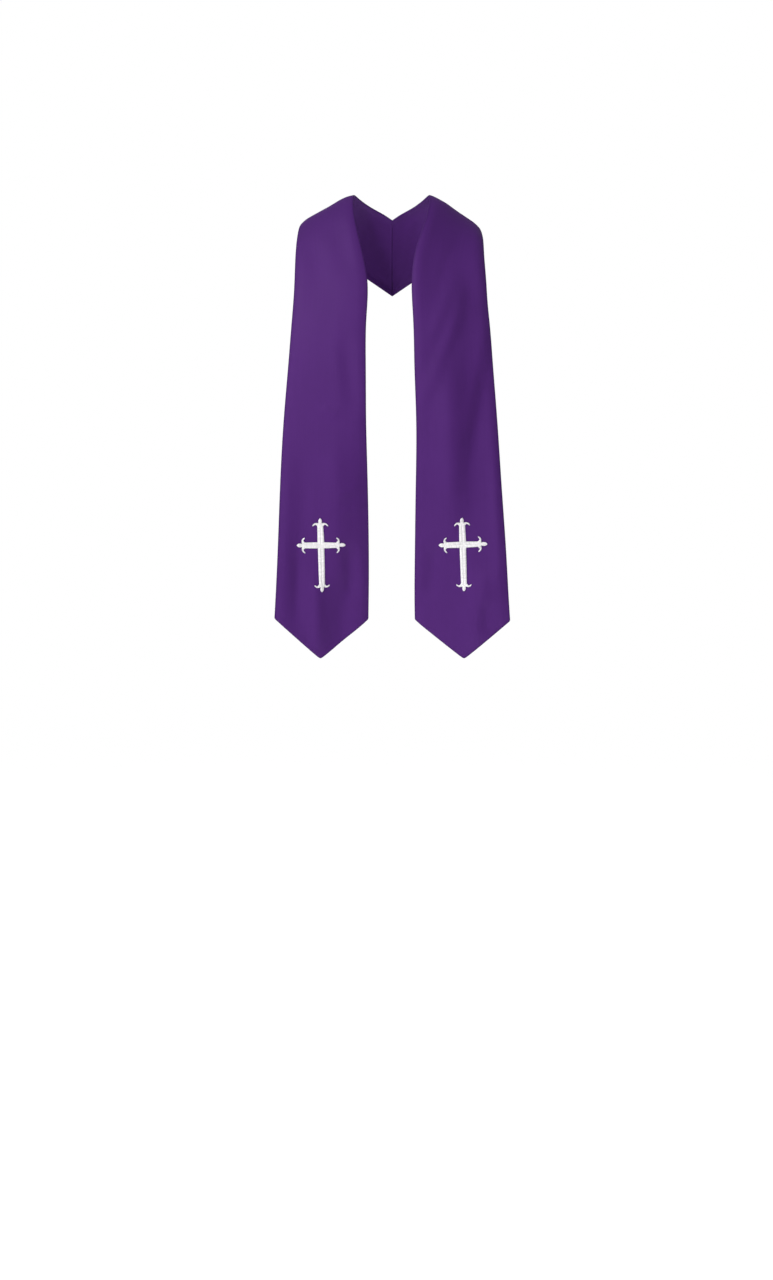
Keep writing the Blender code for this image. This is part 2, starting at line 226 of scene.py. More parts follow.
def folds(side, x, along):
    """Height of the folds. A fold is height * exp(-(distance from its line / breadth)^2), and it
    dies away past both ends of the line as exp(-(2 * share - 1)^4). The pressed edges fall back by
    EDGE_FALL * exp(-(distance from the edge / EDGE_FALL_OVER)^2)."""
    out = np.zeros(np.broadcast(x, along).shape)
    for f in FOLDS[side]:
        ax, ay = f.across_a * half_width(side, f.along_a), f.along_a
        bx, by = f.across_b * half_width(side, f.along_b), f.along_b
        run = np.hypot(bx - ax, by - ay)
        share = ((x - ax) * (bx - ax) + (along - ay) * (by - ay)) / run**2
        away = ((x - ax) * (by - ay) - (along - ay) * (bx - ax)) / run
        out += f.height * np.exp(-((away / f.breadth) ** 2) - (2 * share - 1) ** 4)
    edge = half_width(side, along) - np.abs(x)
    return out - EDGE_FALL * np.exp(-((edge / EDGE_FALL_OVER) ** 2))


print("fold height in the middle of the left chest, mm:", round(float(folds("left", 0.0, 500.0)), 2))


# %% [markdown]
# ## The edges and the stitched places
#
# The long edges are sewn inside out, turned and pressed. The sewing draws the cloth up a little, so
# it ripples in the last few millimetres. The embroidery does the same: its thread pulls the cloth
# down and stiffens it. Both are sums of a few sine waves that die away from the stitches, because
# the wavelengths of real puckers are few and irregular.

# %% Where the crosses are, and the size of their arms
# A cross has its middle this far out from the panel's middle line and above the tip, in
# millimetres. Its arms are given in quarter turns from the top one, as the picture shows them. The
# columns give, in millimetres, how far the tip lies from the middle, the half width of the bar at
# the middle and at its end, the half width of the bud, how far below the tip the barbs start, and
# how much their ends are raised.
Place = namedtuple("Place", "across above lean")
CROSS_PLACE = {
    "right": Place(3.9, 159.9, math.radians(-2.5)),
    "left": Place(3.9, 160.9, math.radians(0.7)),
}
Arm = namedtuple("Arm", "place tip at_middle at_end bud barbs_below barb_rise")
ARMS = (
    Arm("top", 37.8, 4.8, 4.0, 2.55, 6.0, 0.0),
    Arm("left", 33.4, 4.4, 4.0, 2.8, 6.4, 0.0),
    Arm("foot", 65.4, 4.5, 4.1, 2.6, 6.0, 1.4),
    Arm("right", 34.0, 4.5, 3.5, 2.7, 7.6, 0.0),
)
print("height of a cross, mm:", ARMS[0].tip + ARMS[2].tip)

# %% Ripples along the edges
# Lengths and heights are in millimetres.
Wave = namedtuple("Wave", "length height phase")
RIPPLES = (
    Wave(17.0, 0.11, 0.3),
    Wave(27.0, 0.13, 2.1),
    Wave(41.0, 0.12, 4.0),
    Wave(11.0, 0.05, 1.2),
)
OUTER_SHIFT, LEFT_SHIFT = 1.7, 0.9
RIPPLE_OVER = 8.0
HELD_OVER, HELD_SHARE = 1.5, 0.25


def ripple(side, x, along):
    """Each edge's ripple is a sum of sines along it, times exp(-distance from the edge / 8 mm). At
    the very edge it is a quarter of that, and each edge is shifted, so that no two are alike."""
    edge = half_width(side, along) - np.abs(x)
    shift = np.where(x > 0, OUTER_SHIFT, 0.0) + (LEFT_SHIFT if side == "left" else 0.0)
    waves = sum(
        wave.height * np.sin(2 * math.pi * along / wave.length + shift * wave.length + wave.phase)
        for wave in RIPPLES
    )
    held = np.clip(edge / HELD_OVER, HELD_SHARE, 1)
    return waves * np.exp(-np.maximum(edge, 0) / RIPPLE_OVER) * held


print("highest that a ripple can be, mm:", round(sum(wave.height for wave in RIPPLES), 2))

# %% Dimples around the crosses
# A cross pulls on the cloth as two plain bars of this half width would, whose ends lie this far
# inside the tips, in millimetres.
BAR_HALF, ENDS_IN = 4, 6
DIMPLE, DIMPLE_OVER = 0.35, 5.0
PUCKER, PUCKER_AT, PUCKER_OVER = 0.07, 5, 4
PUCKER_ACROSS, PUCKER_ALONG, PUCKER_PHASE = 4.1, 5.3, 0.8


def dimple(side, x, along):
    """The thread draws the cloth down under and beside the cross: depth * exp(-(d / 5 mm)^2),
    where d is the distance from the nearer bar. Small puckers stand round it, two crossed sines
    times exp(-((d - 5 mm) / 4 mm)^2)."""
    top, left, foot = ARMS[:3]
    place = CROSS_PLACE[side]
    dx, dy = x - place.across, along - place.above
    c, s = math.cos(place.lean), math.sin(place.lean)
    a, b = dx * c + dy * s, dy * c - dx * s
    middle = (top.tip - foot.tip) / 2
    half = (top.tip + foot.tip) / 2 - ENDS_IN
    upright = np.hypot(
        np.maximum(np.abs(a) - BAR_HALF, 0), np.maximum(np.abs(b - middle) - half, 0)
    )
    crossing = np.hypot(
        np.maximum(np.abs(a) - left.tip + ENDS_IN, 0), np.maximum(np.abs(b) - BAR_HALF, 0)
    )
    d = np.minimum(upright, crossing)
    pucker = np.sin(a / PUCKER_ACROSS + PUCKER_PHASE) * np.sin(b / PUCKER_ALONG)
    pucker = pucker * np.exp(-(((d - PUCKER_AT) / PUCKER_OVER) ** 2))
    return -DIMPLE * np.exp(-((d / DIMPLE_OVER) ** 2)) + PUCKER * pucker


print("dimple beside the foot's bar, mm:", round(float(dimple("left", 10.0, 120.0)), 3))


# %% A place on the flat cloth becomes a place in the hanging stole
STEP_ALONG, STEP_ACROSS = 1.0, 0.5
TINY = 1e-9


def ruled(side, x, along):
    """The straight line between the two edges: middle + half-width vector * (x / half-width)."""
    share = (x / half_width(side, along))[..., None]
    middle = np.stack([column(side, k, along) for k in MIDDLE], axis=-1)
    half = np.stack([column(side, k, along) for k in HALF], axis=-1)
    return middle + half * share


def out_of(side, x, along):
    """The unit normal: the cross product of a small step across and a small step along. In the
    seam the step along is straight to the centre plane, so both panels end flat against it."""
    up = np.minimum(along + STEP_ALONG, LENGTH[side])
    down = np.maximum(along - STEP_ALONG, 0.0)
    step_along = ruled(side, x, up) - ruled(side, x, down)
    step_across = ruled(side, x + STEP_ACROSS, along) - ruled(side, x - STEP_ACROSS, along)
    at_seam = (along >= LENGTH[side] - TINY)[..., None]
    step_along = np.where(at_seam, np.array([-1.0, 0.0, 0.0]), step_along)
    normal = np.cross(step_across, step_along)
    return normal / np.linalg.norm(normal, axis=-1, keepdims=True)


def lay(side, x, along, proud=0.0):
    """The place in metres of a point x mm out from the panel's middle line, along mm up from the
    tip and proud mm out of the middle of the cloth. It is the ruled surface, moved out along its
    normal by bow * (1 - share^2) + folds + ripples + dimples + proud."""
    x, along, proud = np.broadcast_arrays(*(np.asarray(v, float) for v in (x, along, proud)))
    share = x / half_width(side, along)
    out = column(side, BOW, along) * (1 - share**2) + folds(side, x, along)
    out = out + ripple(side, x, along) + dimple(side, x, along) + proud
    points = ruled(side, x, along) + out_of(side, x, along) * out[..., None]
    points[..., 0] = (points[..., 0] - SEAM_OVERLAP) * OUT[side]
    return points * MM


print("left shoulder, m:", np.round(lay("left", 0.0, 640.0), 3))

# %% [markdown]
# ## A grid made into a mesh
#
# A Blender mesh wants a list of corners and a list of faces. Both come from whole arrays: the grid's
# corner numbers, shifted by one row and one column, give all its faces at once.

# %% Helpers that turn arrays into meshes
def grid_faces(numbers):
    """Quads between neighbouring rows and columns of a 2-D array of corner numbers."""
    a, b = numbers[:-1, :-1], numbers[:-1, 1:]
    c, d = numbers[1:, 1:], numbers[1:, :-1]
    return np.stack([a, b, c, d], axis=-1).reshape(-1, 4)


def outlined_faces(numbers):
    """The same quads, but the four corner cells are each cut in two from the outline's corner
    inwards. A front and a back that share the outline then have no triangle in common."""
    quads = grid_faces(numbers)
    cells = np.arange(len(quads)).reshape(len(numbers) - 1, -1)
    corner = cells[[0, 0, -1, -1], [0, -1, 0, -1]]
    turned = quads[corner]
    turned[1:3] = np.roll(turned[1:3], 1, axis=1)
    halves = turned[:, [[0, 1, 2], [0, 2, 3]]].reshape(-1, 3)
    return np.delete(quads, corner, axis=0), halves


def mesh_piece(name, corners, quads, flat=None, tone=None, caps=()):
    """One object from corner places, quads, and if given a flat (x, along) place and a tone for
    each corner. caps are arrays of polygons with more sides, one row each."""
    mesh = bpy.data.meshes.new(name)
    sizes = np.concatenate([np.full(len(quads), 4)] + [np.full(len(c), c.shape[1]) for c in caps])
    loops = np.concatenate([quads.ravel()] + [c.ravel() for c in caps]).astype(np.int32)
    starts = np.concatenate([[0], np.cumsum(sizes)[:-1]]).astype(np.int32)
    mesh.vertices.add(len(corners))
    mesh.vertices.foreach_set("co", corners.astype(np.float32).ravel())
    mesh.loops.add(len(loops))
    mesh.loops.foreach_set("vertex_index", loops)
    mesh.polygons.add(len(sizes))
    mesh.polygons.foreach_set("loop_start", starts)
    mesh.update(calc_edges=True)
    mesh.validate()
    if flat is not None:
        cut = mesh.uv_layers.new(name="FlatCut")
        cut.uv.foreach_set("vector", flat[loops].astype(np.float32).ravel())
    if tone is not None:
        attribute = mesh.attributes.new("tone", "FLOAT", "POINT")
        attribute.data.foreach_set("value", tone.astype(np.float32))
    mesh.shade_smooth()
    piece = bpy.data.objects.new(name, mesh)
    bpy.context.scene.collection.objects.link(piece)
    return piece


print("quads in a grid of 3 by 4 corners:", len(grid_faces(np.arange(12).reshape(3, 4))))

# %% [markdown]
# ## The two panels
#
# Each panel is sewn from two layers, turned through and pressed. So it is thickest in the last few
# millimetres, where the seam allowances lie inside, its edge is a small round roll, and a faint step
# runs beside it. Solidify would give one even wall with a square rim. Here the front and the back
# are the middle surface moved out and in by half a wall, and the half wall depends on how far the
# nearest edge is.

# %% The shape of the hem
# A hem's point hangs depth millimetres below the hem's corners, and the hem rises by tilt to each
# millimetre outwards.
HEM_HALF_WIDTH = 66.0
Point = namedtuple("Point", "depth tilt")
POINT = {"right": Point(57.0, 0.0), "left": Point(55.0, -0.02)}
TIP_ROUNDING, CORNER_RADIUS = 2.0, 1.8


def hem_rise(side, share):
    """How far above the tip the hem is cut: the point's slope times |x|, rounded at the tip by
    sqrt(x^2 + r^2) - r and at each corner by a quarter circle, plus a small tilt."""
    point = POINT[side]
    x = share * HEM_HALF_WIDTH
    rise = point.depth / HEM_HALF_WIDTH * (np.sqrt(x**2 + TIP_ROUNDING**2) - TIP_ROUNDING)
    into = np.clip((np.abs(x) - HEM_HALF_WIDTH + CORNER_RADIUS) / CORNER_RADIUS, 0, 1)
    return rise + CORNER_RADIUS * (1 - np.sqrt(1 - into**2)) + point.tilt * x


print("hem above the tip at its corners, mm:", hem_rise("left", np.array([-1.0, 1.0])).round(1))

# %% The thickness
ROLL = 2.4
HALF_WALL, ALLOWANCE_ADDS = 1.0, 0.2
ALLOWANCE, STEP_OVER = 5.0, 2.2


def half_wall(d):
    """Half the thickness at distance d from the edge: a quarter ellipse up over the first ROLL
    millimetres, 1.2 mm over the seam allowance, and a smooth step 3t^2 - 2t^3 down to 1.0 mm."""
    roll = np.sqrt(1 - (1 - np.clip(d / ROLL, 0, 1)) ** 2)
    t = np.clip((d - ALLOWANCE) / STEP_OVER, 0, 1)
    return roll * (HALF_WALL + ALLOWANCE_ADDS - ALLOWANCE_ADDS * t * t * (3 - 2 * t))


print("half wall 1, 3 and 9 mm from the edge:", half_wall(np.array([1.0, 3.0, 9.0])).round(2))

# %% The grid on the flat cloth
# Lines of the grid lie at these distances from each edge, in millimetres, and evenly past them. The
# hem slants, so its rows are further apart. The seam is turned tighter, so its rows are closer.
FROM_EDGE = np.array(
    [0, 0.1, 0.35, 0.75, 1.25, 1.85, 2.6, 3.7, 4.9, 5.8, 6.6, 7.6, 9.4, 12.0]
)
HEM_SPREAD, FROM_HEM = 1.35, 0.74
SEAM_SPREAD, FROM_SEAM, ROWS_AT_SEAM = 0.42, 2.4, 9
ALONG_STEP, LEAST_STEP, ACROSS_CELLS = 3.0, 1.0, 44
EVEN, CROWDED = 0.45, 0.55
POINT_FADES_OVER = 190.0


def flat_grid(side):
    """The places (x, along) of the grid and their distance from the nearest edge. Its rows are
    chevrons at the hem, row + rise * (1 - row / 190 mm), and fade out above the point. Between the
    edges its columns lie at step * (0.45 + 0.55 |step|), so they crowd towards the middle."""
    length = LENGTH[side]
    hem_rows = FROM_EDGE * HEM_SPREAD
    seam_rows = length - FROM_EDGE[:ROWS_AT_SEAM][::-1] * SEAM_SPREAD
    between = np.arange(hem_rows[-1] + ALONG_STEP, seam_rows[0] - LEAST_STEP, ALONG_STEP)
    rows = np.concatenate([hem_rows, between, seam_rows])
    half = half_width(side, rows)[:, None]
    near = half - FROM_EDGE[None]
    step = np.linspace(-1, 1, ACROSS_CELLS + 1)[None, 1:-1]
    inside = near[:, -1:] * step * (EVEN + CROWDED * np.abs(step))
    x = np.concatenate([-near, inside, near[:, ::-1]], axis=1)
    share = x / half
    rise = hem_rise(side, share)
    along = rows[:, None] + rise * np.clip(1 - rows / POINT_FADES_OVER, 0, 1)[:, None]
    x = share * half_width(side, along)
    from_side = half_width(side, along) * (1 - np.abs(share))
    from_hem = (along - rise) * FROM_HEM
    from_seam = (length - along) * FROM_SEAM
    return x, along, np.minimum(np.minimum(from_side, from_hem), from_seam)


print("rows and columns of the right grid:", flat_grid("right")[0].shape)

# %% Cut, turn and hang a panel
# The painted shade along the edges fades out over this many millimetres.
EDGE_SHADE_OVER = 1.9


def panel_piece(side):
    """Front and back are the grid laid out by the half wall and in by it. They share the corners of
    the outline, so the piece is closed. Its tone is exp(-(distance from the edge / 1.9 mm)^2), the
    strength of the painted shade along the edges."""
    x, along, from_edge = flat_grid(side)
    wall = half_wall(from_edge)
    front, back = lay(side, x, along, wall), lay(side, x, along, -wall)
    count = x.size
    numbers = np.arange(count).reshape(x.shape)
    behind = numbers.copy()
    behind[1:-1, 1:-1] = count + np.arange((x.shape[0] - 2) * (x.shape[1] - 2)).reshape(
        x.shape[0] - 2, -1
    )
    corners = np.concatenate([front.reshape(-1, 3), back[1:-1, 1:-1].reshape(-1, 3)])
    spots = np.stack([x, along], axis=-1) * MM
    flat = np.concatenate([spots.reshape(-1, 2), spots[1:-1, 1:-1].reshape(-1, 2)])
    # Painted shade along the edges: full at the edge and gone a few millimetres in.
    painted_edge_shade = np.exp(-((from_edge / EDGE_SHADE_OVER) ** 2))
    tone = np.concatenate([painted_edge_shade.ravel(), painted_edge_shade[1:-1, 1:-1].ravel()])
    outer, inner = outlined_faces(numbers), outlined_faces(behind)
    if side == "left":
        inner = [faces[:, ::-1] for faces in inner]
    else:
        outer = [faces[:, ::-1] for faces in outer]
    quads, halves = (np.concatenate(faces) for faces in zip(outer, inner))
    piece = mesh_piece(f"cloth_{side}", corners, quads, flat, tone, caps=(halves,))
    print(piece.name, "faces:", len(piece.data.polygons))
    return piece


cloth = {side: panel_piece(side) for side in OUT}

# %% [markdown]
# ## Raised satin stitch
#
# The cross is made of satin stitch: threads that lie side by side and run straight over a padded
# bar, from one edge to the other. Each bar is two columns that share a row of needle holes, so a
# groove runs down its middle. The ends have an oval bud and two curled barbs. A bump map could draw
# this, but the padding's round shoulders and the groove are what catch the light. So every stitch is
# a thin bent tube here, over a padding of its own.

# %% Two rails and the arch between them
# A band is sewn between two rails, lists of (x, y) on the flat drawing of the cross, in millimetres.
Band = namedtuple("Band", "rail_a rail_b height groove")
DOME, ROOF, GROOVE_OVER = 2.3, 2.4, 0.2


def arch(q, groove):
    """The height over a band, for q from 0 at rail a to 1 at rail b. A bud or barb is a dome,
    sqrt(1 - |2q - 1|^2.3). A column of a bar is half a roof, sqrt(1 - q^2.4), that dips by
    groove * exp(-(q / 0.2)^2) where it meets the other column."""
    if groove == 0:
        return np.sqrt(np.clip(1 - np.abs(2 * q - 1) ** DOME, 0, 1))
    return np.sqrt(np.clip(1 - q**ROOF, 0, 1)) * (1 - groove * np.exp(-((q / GROOVE_OVER) ** 2)))


print("dome at its rail and its middle:", arch(np.array([0.0, 0.5]), 0.0))

# %% One stitch after another
THREAD_RADIUS, THREAD_PITCH = 0.22, 0.36
FEWEST_STITCHES = 3


def spaced(rail_a, rail_b, *more):
    """The rails again with a stitch every THREAD_PITCH, measured along their middle."""
    middle = (rail_a + rail_b) / 2
    run = np.concatenate([[0], np.cumsum(np.linalg.norm(np.diff(middle, axis=0), axis=1))])
    stitches = max(FEWEST_STITCHES, round(run[-1] / THREAD_PITCH))
    at = np.linspace(0, run[-1], stitches)
    return [
        np.stack([np.interp(at, run, v[:, k]) for k in range(v.shape[1])], axis=1)
        for v in (rail_a, rail_b, *(m[:, None] for m in more))
    ]


print("stitches to a centimetre:", round(10 / THREAD_PITCH, 1))

# %% The paths of the stitches
BENDS, LIFT = 8, 0.05
UNEVEN_A, UNEVEN_B, UNEVEN_HEIGHT = 0.02, 0.03, 0.018
dice = np.random.default_rng(11)


def stitch_paths(band):
    """Each stitch runs over the arch from rail to rail, a + (b - a) * q with q = (1 - cos t) / 2, so
    its bends crowd at the rails. A small random shift of its ends and its height makes it uneven.
    The straight way from end to end is given too."""
    a, b, height = spaced(band.rail_a, band.rail_b, band.height)
    count = len(a)
    a = a + dice.normal(0, UNEVEN_A, a.shape)
    b = b + dice.normal(0, UNEVEN_B, b.shape)
    height = height[:, 0] * (1 + dice.normal(0, UNEVEN_HEIGHT, count))
    q = (1 - np.cos(np.linspace(0, math.pi, BENDS))) / 2
    path = np.empty((count, BENDS, 3))
    path[..., :2] = a[:, None] + (b - a)[:, None] * q[None, :, None]
    path[..., 2] = height[:, None] * arch(q, band.groove)[None] + LIFT
    return path, np.concatenate([b - a, np.zeros((count, 1))], axis=1)


print("bends in a stitch:", BENDS)

# %% The tubes of the stitches
SIDES_OF_THREAD, THIN_END = 5, 0.6


def stitch_tubes(band):
    """Around each bend of a path lies a ring, radius * (cos * sideways + sin * outward), and the
    rings are joined into a tube. Its ends are thinner, where it goes through the cloth, and each
    stitch has a random number for its tone."""
    path, straight = stitch_paths(band)
    count = len(path)
    forward = np.gradient(path, axis=1)
    forward /= np.linalg.norm(forward, axis=-1, keepdims=True)
    sideways = np.cross([0.0, 0.0, 1.0], straight)
    sideways /= np.linalg.norm(sideways, axis=-1, keepdims=True) + TINY
    sideways = np.broadcast_to(sideways[:, None], path.shape)
    outward = np.cross(forward, sideways)
    turn = np.linspace(0, 2 * math.pi, SIDES_OF_THREAD, endpoint=False)
    ring = (
        np.cos(turn)[None, None, :, None] * sideways[:, :, None]
        + np.sin(turn)[None, None, :, None] * outward[:, :, None]
    )
    at_end = np.isin(np.arange(BENDS), (0, BENDS - 1))
    thick = THREAD_RADIUS * np.where(at_end, THIN_END, 1.0)[None, :, None, None]
    corners = path[:, :, None] + ring * thick
    return corners, np.repeat(dice.normal(0, 1, count), BENDS * SIDES_OF_THREAD)


def tube_faces(count, first):
    """Quads round each tube, and a polygon at each of its two ends."""
    numbers = first + np.arange(count * BENDS * SIDES_OF_THREAD).reshape(
        count, BENDS, SIDES_OF_THREAD
    )
    a, d = numbers[:, :-1], numbers[:, 1:]
    b, c = np.roll(a, -1, axis=2), np.roll(d, -1, axis=2)
    quads = np.stack([a, b, c, d], axis=-1).reshape(-1, 4)
    return quads, np.concatenate([numbers[:, 0, ::-1], numbers[:, -1]])


print("corners of a stitch:", BENDS * SIDES_OF_THREAD)

# %% The padding of one band
PADDING_EVERY, PADDING_COLUMNS = 3, 9
PADDING_SHARE, PADDING_BELOW = 0.92, 0.1
PADDING_FLOOR = -0.25


def padding(band, first):
    """A closed filling under the stitches: 0.92 of their arch on top, 0.1 mm lower, and flat
    underneath, with a row at every third stitch. It is turned round if it would be inside out."""
    a, b, height = spaced(band.rail_a, band.rail_b, band.height)
    a, b, height = a[::PADDING_EVERY], b[::PADDING_EVERY], height[::PADDING_EVERY]
    ahead = np.gradient((a + b) / 2, axis=0)
    if np.sum((b - a)[:, 0] * ahead[:, 1] - (b - a)[:, 1] * ahead[:, 0]) < 0:
        a, b, height = a[::-1], b[::-1], height[::-1]
    q = np.linspace(0, 1, PADDING_COLUMNS)
    top = np.empty((len(a), PADDING_COLUMNS, 3))
    top[..., :2] = a[:, None] + (b - a)[:, None] * q[None, :, None]
    top[..., 2] = height * (PADDING_SHARE * arch(q, band.groove)[None]) - PADDING_BELOW
    under = top[:, ::-1].copy()
    under[..., 2] = PADDING_FLOOR
    loop = np.concatenate([top, under], axis=1)
    numbers = first + np.arange(loop.shape[0] * loop.shape[1]).reshape(loop.shape[:2])
    closed = np.concatenate([numbers, numbers[:, :1]], axis=1)
    ends = np.stack([numbers[0, ::-1], numbers[-1]])
    return loop.reshape(-1, 3), grid_faces(closed), ends


# %% [markdown]
# ## The bands of the cross
#
# Each arm is drawn once, pointing up, and turned by quarter turns. Its bars narrow a little towards
# the end, meet the other arms in a mitre at the middle, and flare where the barbs leave them.

# %% The two columns of a bar
BAR_HEIGHT, GROOVE = 1.8, 0.5
BAR_STARTS, BAR_STOPS_SHORT, BAR_POINTS = 0.2, 1.2, 160
MITRE_LAP, GROOVE_LAP = 0.25, 0.1
SLANT, SLANT_GROWS_OVER, SLANT_FADES_OVER = 0.8, 8, 4


def bar_bands(arm):
    """Half width at distance r from the middle: a straight taper, cut by the mitre at r + 0.25 mm.
    A stitch ends up to 0.8 mm further out at the groove than at the edge, but not near the mitre or
    the end. The height is 1.8 mm times the root of the width's share."""
    end = arm.tip - arm.barbs_below - BAR_STOPS_SHORT
    r = np.linspace(BAR_STARTS, end, BAR_POINTS)
    width = arm.at_middle + (arm.at_end - arm.at_middle) * r / end
    width = np.minimum(width, r + MITRE_LAP)
    height = BAR_HEIGHT * (width / arm.at_middle) ** 0.5
    grown = np.clip((r - arm.at_middle) / SLANT_GROWS_OVER, 0, 1)
    slant = SLANT * grown * np.clip((end - r) / SLANT_FADES_OVER, 0, 1)
    bands = []
    for hand in (-1, 1):
        groove = np.stack([np.full_like(r, -GROOVE_LAP * hand), r + slant], axis=1)
        edge = np.stack([hand * width, r], axis=1)
        bands.append(Band(groove, edge, height, GROOVE))
    return bands


print("half width of the foot's bar, mm:", ARMS[2].at_middle, "to", ARMS[2].at_end)

# %% The bud at the end of an arm
BUD_HEIGHT, BUD_LIFT = 1.7, 1.06
BUD_STARTS, BUD_RUNS_IN, BUD_POINTS = 0.10, 2.6, 70
BUD_ROUND, BUD_EASES_OVER, BUD_EASES = 4.0, 4.5, 0.2
BUD_SLANT = 0.25


def bud_band(arm):
    """A pointed oval. u mm below its tip the half width is bud * (1 - (1 - u/4)^2)^0.75, and past
    4 mm it eases in by a fifth towards the barbs, as ((u - 4) / 4.5)^1.5. The height is 1.7 mm
    times the width's share^0.6."""
    u = np.linspace(BUD_STARTS, arm.barbs_below + BUD_RUNS_IN, BUD_POINTS)
    width = arm.bud * (1 - (1 - np.clip(u / BUD_ROUND, 0, 1)) ** 2) ** 0.75
    width -= BUD_EASES * arm.bud * np.clip((u - BUD_ROUND) / BUD_EASES_OVER, 0, 1) ** 1.5
    r = arm.tip - u
    height = BUD_HEIGHT * (width / arm.bud) ** 0.6
    left = np.stack([-width, r - BUD_SLANT], axis=1)
    return Band(left, np.stack([width, r + BUD_SLANT], axis=1), height, 0.0)


print("length of the top bud, mm:", ARMS[0].barbs_below + BUD_RUNS_IN)

# %% The barbs at the end of an arm
# The columns give, in millimetres, how far a place of the barb's middle line lies to the side and
# above the foot of the bud, and the barb's half width there.
Barb = namedtuple("Barb", "sideways above half_width")
BARB = (
    Barb(0.3, -4.2, 2.2),
    Barb(2.3, -3.4, 2.5),
    Barb(4.2, -2.2, 1.9),
    Barb(6.0, -1.55, 1.2),
    Barb(7.6, -1.9, 1.05),
    Barb(8.9, -2.8, 0.95),
    Barb(10.0, -4.1, 0.75),
    Barb(10.5, -4.7, 0.4),
)
BARB_STEPS = 16
BARB_HEIGHT, BARB_FULL, BARB_HIGHEST = 1.25, 1.4, 1.3
BARB_REACH = 11


def barb_band(arm, hand):
    """A crescent that leaves the bar and curls back towards the middle of the cross. Its middle
    line and its half width are one smooth curve along the rows of BARB, raised by the arm's own
    barb_rise * (x / 11 mm)^1.3. The height is 1.25 mm times the root of half width / 1.4 mm."""
    curve = smooth_curve(np.array(BARB), steps=BARB_STEPS)
    x, y, width = curve[:, 0], curve[:, 1], curve[:, 2]
    y = y + arm.barb_rise * np.clip(x / BARB_REACH, 0, 1) ** 1.3
    line = np.stack([hand * x, arm.tip - arm.barbs_below + y], axis=1)
    ahead = np.gradient(line, axis=0)
    ahead /= np.linalg.norm(ahead, axis=1, keepdims=True)
    normal = np.stack([-ahead[:, 1], ahead[:, 0]], axis=1) * width[:, None]
    height = BARB_HEIGHT * (width / BARB_FULL).clip(0, BARB_HIGHEST) ** 0.5
    return Band(line - normal, line + normal, height, 0.0)


print("reach of a barb, mm:", BARB[-1].sideways)

# %% All the bands of a cross
def turned(band, quarter, lift=1.0):
    """The band turned by quarter turns about the middle of the cross, its height times lift."""
    c, s = (1, 0, -1, 0)[quarter], (0, 1, 0, -1)[quarter]
    spin = np.array([[c, s], [-s, c]], float)
    return Band(band.rail_a @ spin, band.rail_b @ spin, band.height * lift, band.groove)


cross_bands = []
for quarter, arm in enumerate(ARMS):
    cross_bands += [turned(barb_band(arm, hand), quarter) for hand in (-1, 1)]
    cross_bands += [turned(band, quarter) for band in bar_bands(arm)]
    cross_bands.append(turned(bud_band(arm), quarter, BUD_LIFT))
print("bands of satin stitch in a cross:", len(cross_bands))

# %% Sew the cross onto its panel
def on_cloth(side, points):
    """Points on the flat drawing (x, y, height) leaned, moved to their place, and laid on the
    cloth's face, which lies half a wall out."""
    place = CROSS_PLACE[side]
    c, s = math.cos(place.lean), math.sin(place.lean)
    x, y = points[:, 0] * OUT[side], points[:, 1]
    along = x * s + y * c + place.above
    x = x * c - y * s + place.across
    return lay(side, x, along, HALF_WALL + points[:, 2])


def cross_piece(side):
    """All the stitches and paddings of one cross, joined into one piece. A stitch's tone is its own
    random number, and a padding's is 0."""
    places, quads, ends, pads, tones = [], [], [], [], []
    first = 0
    for band in cross_bands:
        corners, tone = stitch_tubes(band)
        sides, caps = tube_faces(len(corners), first)
        flat_places = corners.reshape(-1, 3)
        places.append(flat_places)
        tones.append(tone)
        quads.append(sides)
        ends.append(caps)
        first += len(flat_places)
        loop, sides, caps = padding(band, first)
        places.append(loop)
        tones.append(np.zeros(len(loop)))
        quads.append(sides)
        pads.append(caps)
        first += len(loop)
    drawing = np.concatenate(places)
    corners = on_cloth(side, drawing)
    quads, ends, pads = (np.concatenate(part) for part in (quads, ends, pads))
    piece = mesh_piece(
        f"stitching_{side}",
        corners,
        quads,
        drawing[:, :2] * MM,
        np.concatenate(tones),
        (ends, pads),
    )
    triangles = 2 * len(quads) + len(ends) * (SIDES_OF_THREAD - 2)
    triangles += len(pads) * (2 * PADDING_COLUMNS - 2)
    print(piece.name, "triangles:", triangles)
    return piece


stitching = {side: cross_piece(side) for side in OUT}

# %% [markdown]
# ## Purple satin
#
# The cloth is a smooth polyester satin. It is dark, with a soft broad sheen and hardly any texture
# from a step away. Close up, each thread floats over several others. A flat colour would look like
# paint, so the colour drifts a little, long threads run down the cloth as faint streaks, and the
# weave is a very shallow bump. All of it reads the flat cut, so that the threads follow the cloth.
# Near the edges the colour is darkened as painted shade, for the rolled rim that turns away from the
# light, and an attribute of the mesh tells how near the edge is.

# %% Small helpers for materials
def grey(value):
    """A colour with the same value in red, green and blue."""
    return (value, value, value, 1)


def new_material(name):
    """A material with its nodes, its links and its shader."""
    made = bpy.data.materials.new(name)
    made.use_nodes = True
    nodes, links = made.node_tree.nodes, made.node_tree.links
    return made, nodes, links, nodes["Principled BSDF"]


def mapped(nodes, links, source, scale):
    """The source's place times scale."""
    mapping = nodes.new("ShaderNodeMapping")
    mapping.inputs["Scale"].default_value = scale
    links.new(source, mapping.inputs["Vector"])
    return mapping.outputs["Vector"]


def noise(nodes, links, vector, scale, detail=3.0):
    """Soft noise from 0 to 1 with scale lumps to a unit of the vector."""
    made = nodes.new("ShaderNodeTexNoise")
    made.inputs["Scale"].default_value = scale
    made.inputs["Detail"].default_value = detail
    links.new(vector, made.inputs["Vector"])
    return made.outputs["Fac"]


